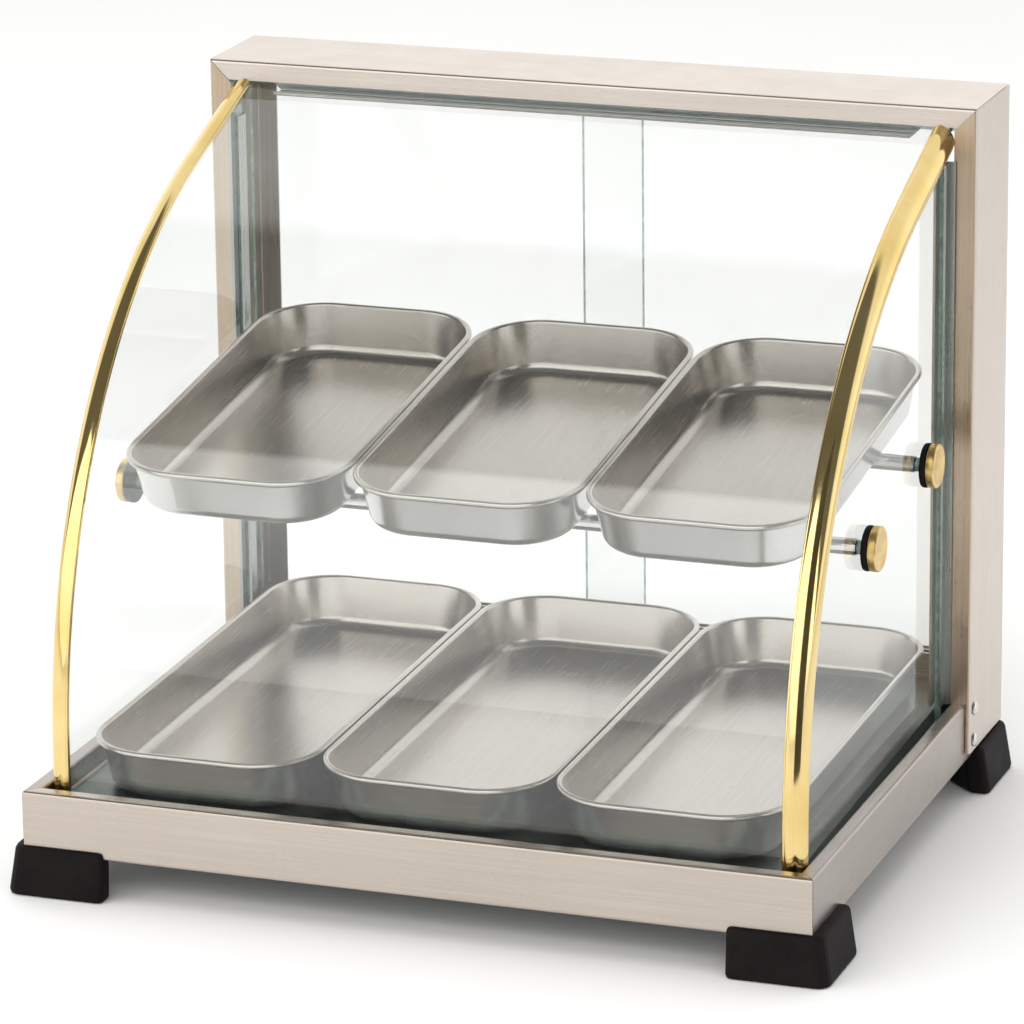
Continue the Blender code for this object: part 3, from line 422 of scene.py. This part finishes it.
def trim_section():
    """Corner moulding: broad rounded nose between two legs with fine rolled borders."""
    x_out, r_out = TRIM_HALF, TRIM_RADIUS
    x_in, r_in = PANE_X + GLASS + GAP, ARC_RADIUS + GAP
    bead = 0.0008
    points = [(x_out - TRIM_LEG, r_in), (x_out - TRIM_LEG, r_out - 2.0 * bead)]
    points += [(x_out - TRIM_LEG + bead - bead * math.cos(a), r_out - 2.0 * bead + bead * math.sin(a))
               for a in (math.pi * k / 10 for k in range(1, 8))]
    for k in range(25):
        a = math.radians(88 - 86 * k / 24)
        points.append((x_out - TRIM_NOSE + TRIM_NOSE * math.cos(a),
                       r_out - TRIM_NOSE + TRIM_NOSE * math.sin(a)))
    points += [(x_out - 2.0 * bead + bead * math.sin(a), r_out - TRIM_LEG + bead - bead * math.cos(a))
               for a in (math.pi * k / 10 for k in range(7, -1, -1))]
    return points + [(x_in, r_out - TRIM_LEG), (x_in, r_in)]


def build_trims():
    for name, side in (("left", -1), ("right", 1)):
        curves = [(side * x, front_curve(radius, TRIM_FOOT, TRIM_TOP_Y)) for x, radius in trim_section()]
        bm = bmesh.new()
        rows = loft(bm, [[(x, *curve[i]) for x, curve in curves] for i in range(len(curves[0][1]))])
        bm.faces.new(rows[0])
        bm.faces.new(rows[-1])
        piece("corner_trim_" + name, bm, [gold], replaces=["trim_" + name], sharp=50)


build_front_glass()
build_trims()


# ---------------------------------------------------------------- knobs and washers
def build_knobs():
    """Disc nuts with a shallow dished face and rounded edges, on rubber washers."""
    r, t = KNOB_RADIUS, KNOB_THICK
    knob = [(0.0033, 0.0), (r - 0.0006, 0.0), (r - 0.0002, 0.0002), (r, 0.0006), (r, t - 0.0012),
            (r - 0.0002, t - 0.0006), (r - 0.0006, t - 0.0002), (r - 0.0011, t), (r - 0.0026, t),
            (r - 0.0030, t - 0.0002), (0.0040, t - 0.00025), (0.0006, t - 0.0003), (0.0, t - 0.0003)]
    w = WASHER_THICK
    washer = [(0.0036, 0.0), (r - 0.0010, 0.0), (r - 0.0003, 0.0003), (r, 0.0010), (r, w - 0.0010),
              (r - 0.0003, w - 0.0003), (r - 0.0010, w), (0.0036, w), (0.0036, 0.0)]
    for label, (y, z) in (("front", ROD_FRONT), ("rear", ROD_REAR)):
        for name, side in (("left", -1), ("right", 1)):
            turn = AXIS["X" if side > 0 else "-X"]
            x = PANE_X + GLASS + GAP
            piece(f"rubber_washer_{label}_{name}", lathe(washer), [rubber],
                  replaces=[f"washer_{label}_{name}"],
                  at=(side * x, y, z), turn=turn)
            x += w + GAP
            piece(f"disc_nut_{label}_{name}", lathe(knob), [brass],
                  replaces=[f"knob_{label}_{name}"],
                  at=(side * x, y, z), turn=turn, sharp=50)


build_knobs()


# ---------------------------------------------------------------- trays
def tray_ring(length, inset, z, steps=14):
    radius = TRAY_CORNER - inset
    half_x, half_y = TRAY_WIDTH / 2 - TRAY_CORNER, length / 2 - TRAY_CORNER
    ring = []
    for quarter, (sx, sy) in enumerate(((1, 1), (-1, 1), (-1, -1), (1, -1))):
        for step in range(steps + 1):
            angle = math.pi / 2 * (quarter + step / steps)
            ring.append((sx * half_x + radius * math.cos(angle),
                         sy * half_y + radius * math.sin(angle), z))
    return ring


def tray_mesh(length):
    """Pressed tray skin: flat floor, soft heel, leaning wall and a rolled rim."""
    top, roll = TRAY_HEIGHT, 0.0012
    floor_inset, heel = 0.0150, 0.0075
    section = [(floor_inset, 0.0)]
    section += [(floor_inset - heel * math.sin(a), heel * (1 - math.cos(a)))
                for a in (math.radians(8 * k) for k in range(1, 11))]
    inner = TRAY_SHEET + 2 * roll
    section += [(inner + 0.0004, top - TRAY_SHEET - roll - 0.0012)]
    section += [(TRAY_SHEET + roll + roll * math.cos(a), top - TRAY_SHEET - roll + roll * math.sin(a))
                for a in (math.radians(20 * k) for k in range(0, 13))]
    bm = bmesh.new()
    rows = loft(bm, [tray_ring(length, inset, z) for inset, z in section])
    floor = bm.faces.new(rows[0])
    bmesh.ops.recalc_face_normals(bm, faces=bm.faces)
    floor.normal_update()
    if floor.normal.z > 0:
        bmesh.ops.reverse_faces(bm, faces=bm.faces)
    return bm


def build_trays():
    slope = math.atan2(DECK_RISE, DECK_REAR - DECK_FRONT)
    lower_y = (DECK_FRONT + DECK_REAR) / 2 + 0.0005
    deck_z = DECK_LOW + DECK_RISE * (lower_y - DECK_FRONT) / (DECK_REAR - DECK_FRONT)
    lower_z = deck_z + GAP / math.cos(slope)
    run, rise = ROD_REAR[0] - ROD_FRONT[0], ROD_REAR[1] - ROD_FRONT[1]
    tilt = math.atan2(rise, run)
    upper_z = ROD_FRONT[1] + (UPPER_TRAY_Y - ROD_FRONT[0]) * rise / run
    upper_z += (ROD_RADIUS + GAP) / math.cos(tilt)
    for row, length, y, z, angle in (("lower", LOWER_TRAY_LENGTH, lower_y, lower_z, slope),
                                     ("upper", UPPER_TRAY_LENGTH, UPPER_TRAY_Y, upper_z, tilt)):
        for index, column in enumerate(("left", "middle", "right")):
            node = f"tray_{row}_{column}"
            x = TRAY_SHIFT + (index - 1) * TRAY_PITCH
            bm = tray_mesh(length)
            mesh = bpy.data.meshes.new("pressed_" + node)
            bm.to_mesh(mesh)
            bm.free()
            obj = bpy.data.objects.new("pressed_" + node, mesh)
            bpy.context.scene.collection.objects.link(obj)
            obj.location, obj.rotation_euler = (x, y, z), (angle, 0, 0)
            mesh.materials.append(tray_outside)
            mesh.materials.append(tray_inside_painted_shade)
            smooth(obj, 40)
            # The sheet's added shell takes the second material, the painted shade inside the pan.
            sheet = obj.modifiers.new("sheet", "SOLIDIFY")
            sheet.thickness, sheet.offset, sheet.material_offset = TRAY_SHEET, -1, 1
            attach(obj, node)
            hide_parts(node)


build_trays()


# ---------------------------------------------------------------- floor, light and camera
def build_floor():
    bm = bmesh.new()
    bmesh.ops.create_grid(bm, x_segments=1, y_segments=1, size=30.0)
    mesh = bpy.data.meshes.new("studio_floor")
    bm.to_mesh(mesh)
    bm.free()
    floor = bpy.data.objects.new("studio_floor", mesh)
    bpy.context.scene.collection.objects.link(floor)
    g = Graph("studio_paper")
    cloud = g.noise(g.place(), 2.0, 3.0)
    colour = g.ramp(cloud, (0.3, (0.915, 0.913, 0.91)), (0.7, (0.94, 0.938, 0.935)))
    mesh.materials.append(g.principled(Base_Color=colour, Roughness=g.spread(cloud, 0.85, 0.95)))


def build_light():
    """Soft white surroundings with a darker band overhead in front, and two soft lamps."""
    world = bpy.data.worlds.new("studio")
    bpy.context.scene.world = world
    world.use_nodes = True
    tree = world.node_tree
    tree.nodes.clear()
    coords = tree.nodes.new("ShaderNodeTexCoord")
    split = tree.nodes.new("ShaderNodeSeparateXYZ")
    turn = tree.nodes.new("ShaderNodeMath")
    turn.operation = "ARCTAN2"
    back = tree.nodes.new("ShaderNodeMath")
    back.operation = "MULTIPLY"
    back.inputs[1].default_value = -1.0
    share = tree.nodes.new("ShaderNodeMapRange")
    share.inputs["From Min"].default_value = 0.0
    share.inputs["From Max"].default_value = math.pi
    ramp = tree.nodes.new("ShaderNodeValToRGB")
    levels = ((0, 1.50), (14, 1.55), (47.6, 2.3), (49.2, 0.16), (103, 0.16), (109, 1.05),
              (128, 1.05), (155, 1.30), (180, 1.30))    # degrees over the top from the front, level
    elements = ramp.color_ramp.elements
    while len(elements) < len(levels):
        elements.new(0.5)
    for element, (degrees, level) in zip(elements, levels):
        element.position = degrees / 180
        element.color = (level, level * 0.995, level * 0.985, 1.0)
    shade = tree.nodes.new("ShaderNodeBackground")
    shade.inputs["Strength"].default_value = 1.0
    out = tree.nodes.new("ShaderNodeOutputWorld")
    link = tree.links.new
    link(coords.outputs["Generated"], split.inputs[0])
    link(split.outputs["Y"], back.inputs[0])
    link(split.outputs["Z"], turn.inputs[0])
    link(back.outputs[0], turn.inputs[1])
    link(turn.outputs[0], share.inputs["Value"])
    link(share.outputs["Result"], ramp.inputs["Fac"])
    link(ramp.outputs["Color"], shade.inputs["Color"])
    link(shade.outputs[0], out.inputs["Surface"])
    for name, at, size, watts in (("soft_top", (-0.4, -0.3, 3.2), 3.4, 58.0),
                                  ("soft_key", (-1.8, -1.6, 2.2), 1.8, 12.0)):
        data = bpy.data.lights.new(name, "AREA")
        data.shape, data.size, data.energy = "SQUARE", size, watts
        lamp = bpy.data.objects.new(name, data)
        bpy.context.scene.collection.objects.link(lamp)
        lamp.location = at
        lamp.rotation_euler = (Vector((0, 0, 0.2)) - Vector(at)).to_track_quat("-Z", "Y").to_euler()
        lamp.visible_glossy = False


def build_flag():
    """A dark card beside the case, seen only in its polished metal."""
    g = Graph("flag_cloth")
    weave = g.noise(g.place(), 300.0, 2.0)
    colour = g.ramp(weave, (0.3, (0.035, 0.032, 0.022)), (0.7, (0.055, 0.050, 0.036)))
    cloth = g.principled(Base_Color=colour, Roughness=g.spread(weave, 0.8, 0.95))
    at, width, height = Vector((0.66, -0.60, 0.002)), 0.46, 1.1
    across = Vector((-at.y, at.x, 0)).normalized() * width / 2
    up = Vector((0, 0, height))
    bm = bmesh.new()
    bm.faces.new([bm.verts.new(at + p) for p in (-across, across, across + up, up - across)])
    mesh = bpy.data.meshes.new("flag_right")
    bm.to_mesh(mesh)
    bm.free()
    mesh.materials.append(cloth)
    flag = bpy.data.objects.new("flag_right", mesh)
    bpy.context.scene.collection.objects.link(flag)
    flag.visible_camera = flag.visible_diffuse = flag.visible_shadow = flag.visible_transmission = False


def build_camera():
    azimuth, elevation, roll = 0.3470, 0.2919, -0.0119
    data = bpy.data.cameras.new("photo_camera")
    data.lens, data.sensor_width = 201.5, 36.0
    data.clip_start, data.clip_end = 0.1, 120.0
    camera = bpy.data.objects.new("photo_camera", data)
    bpy.context.scene.collection.objects.link(camera)
    ahead = Vector((-math.sin(azimuth) * math.cos(elevation), math.cos(azimuth) * math.cos(elevation),
                    -math.sin(elevation)))
    right = Vector((math.cos(azimuth), math.sin(azimuth), 0.0))
    up = right.cross(ahead)
    x = math.cos(roll) * right + math.sin(roll) * up
    y = -math.sin(roll) * right + math.cos(roll) * up
    camera.matrix_world = (Matrix.Translation((1.0769, -3.0004, 1.1500))
                           @ Matrix((x, y, -ahead)).transposed().to_4x4())
    bpy.context.scene.camera = camera


build_floor()
build_light()
build_flag()
build_camera()
bpy.context.scene.view_settings.view_transform = "Standard"
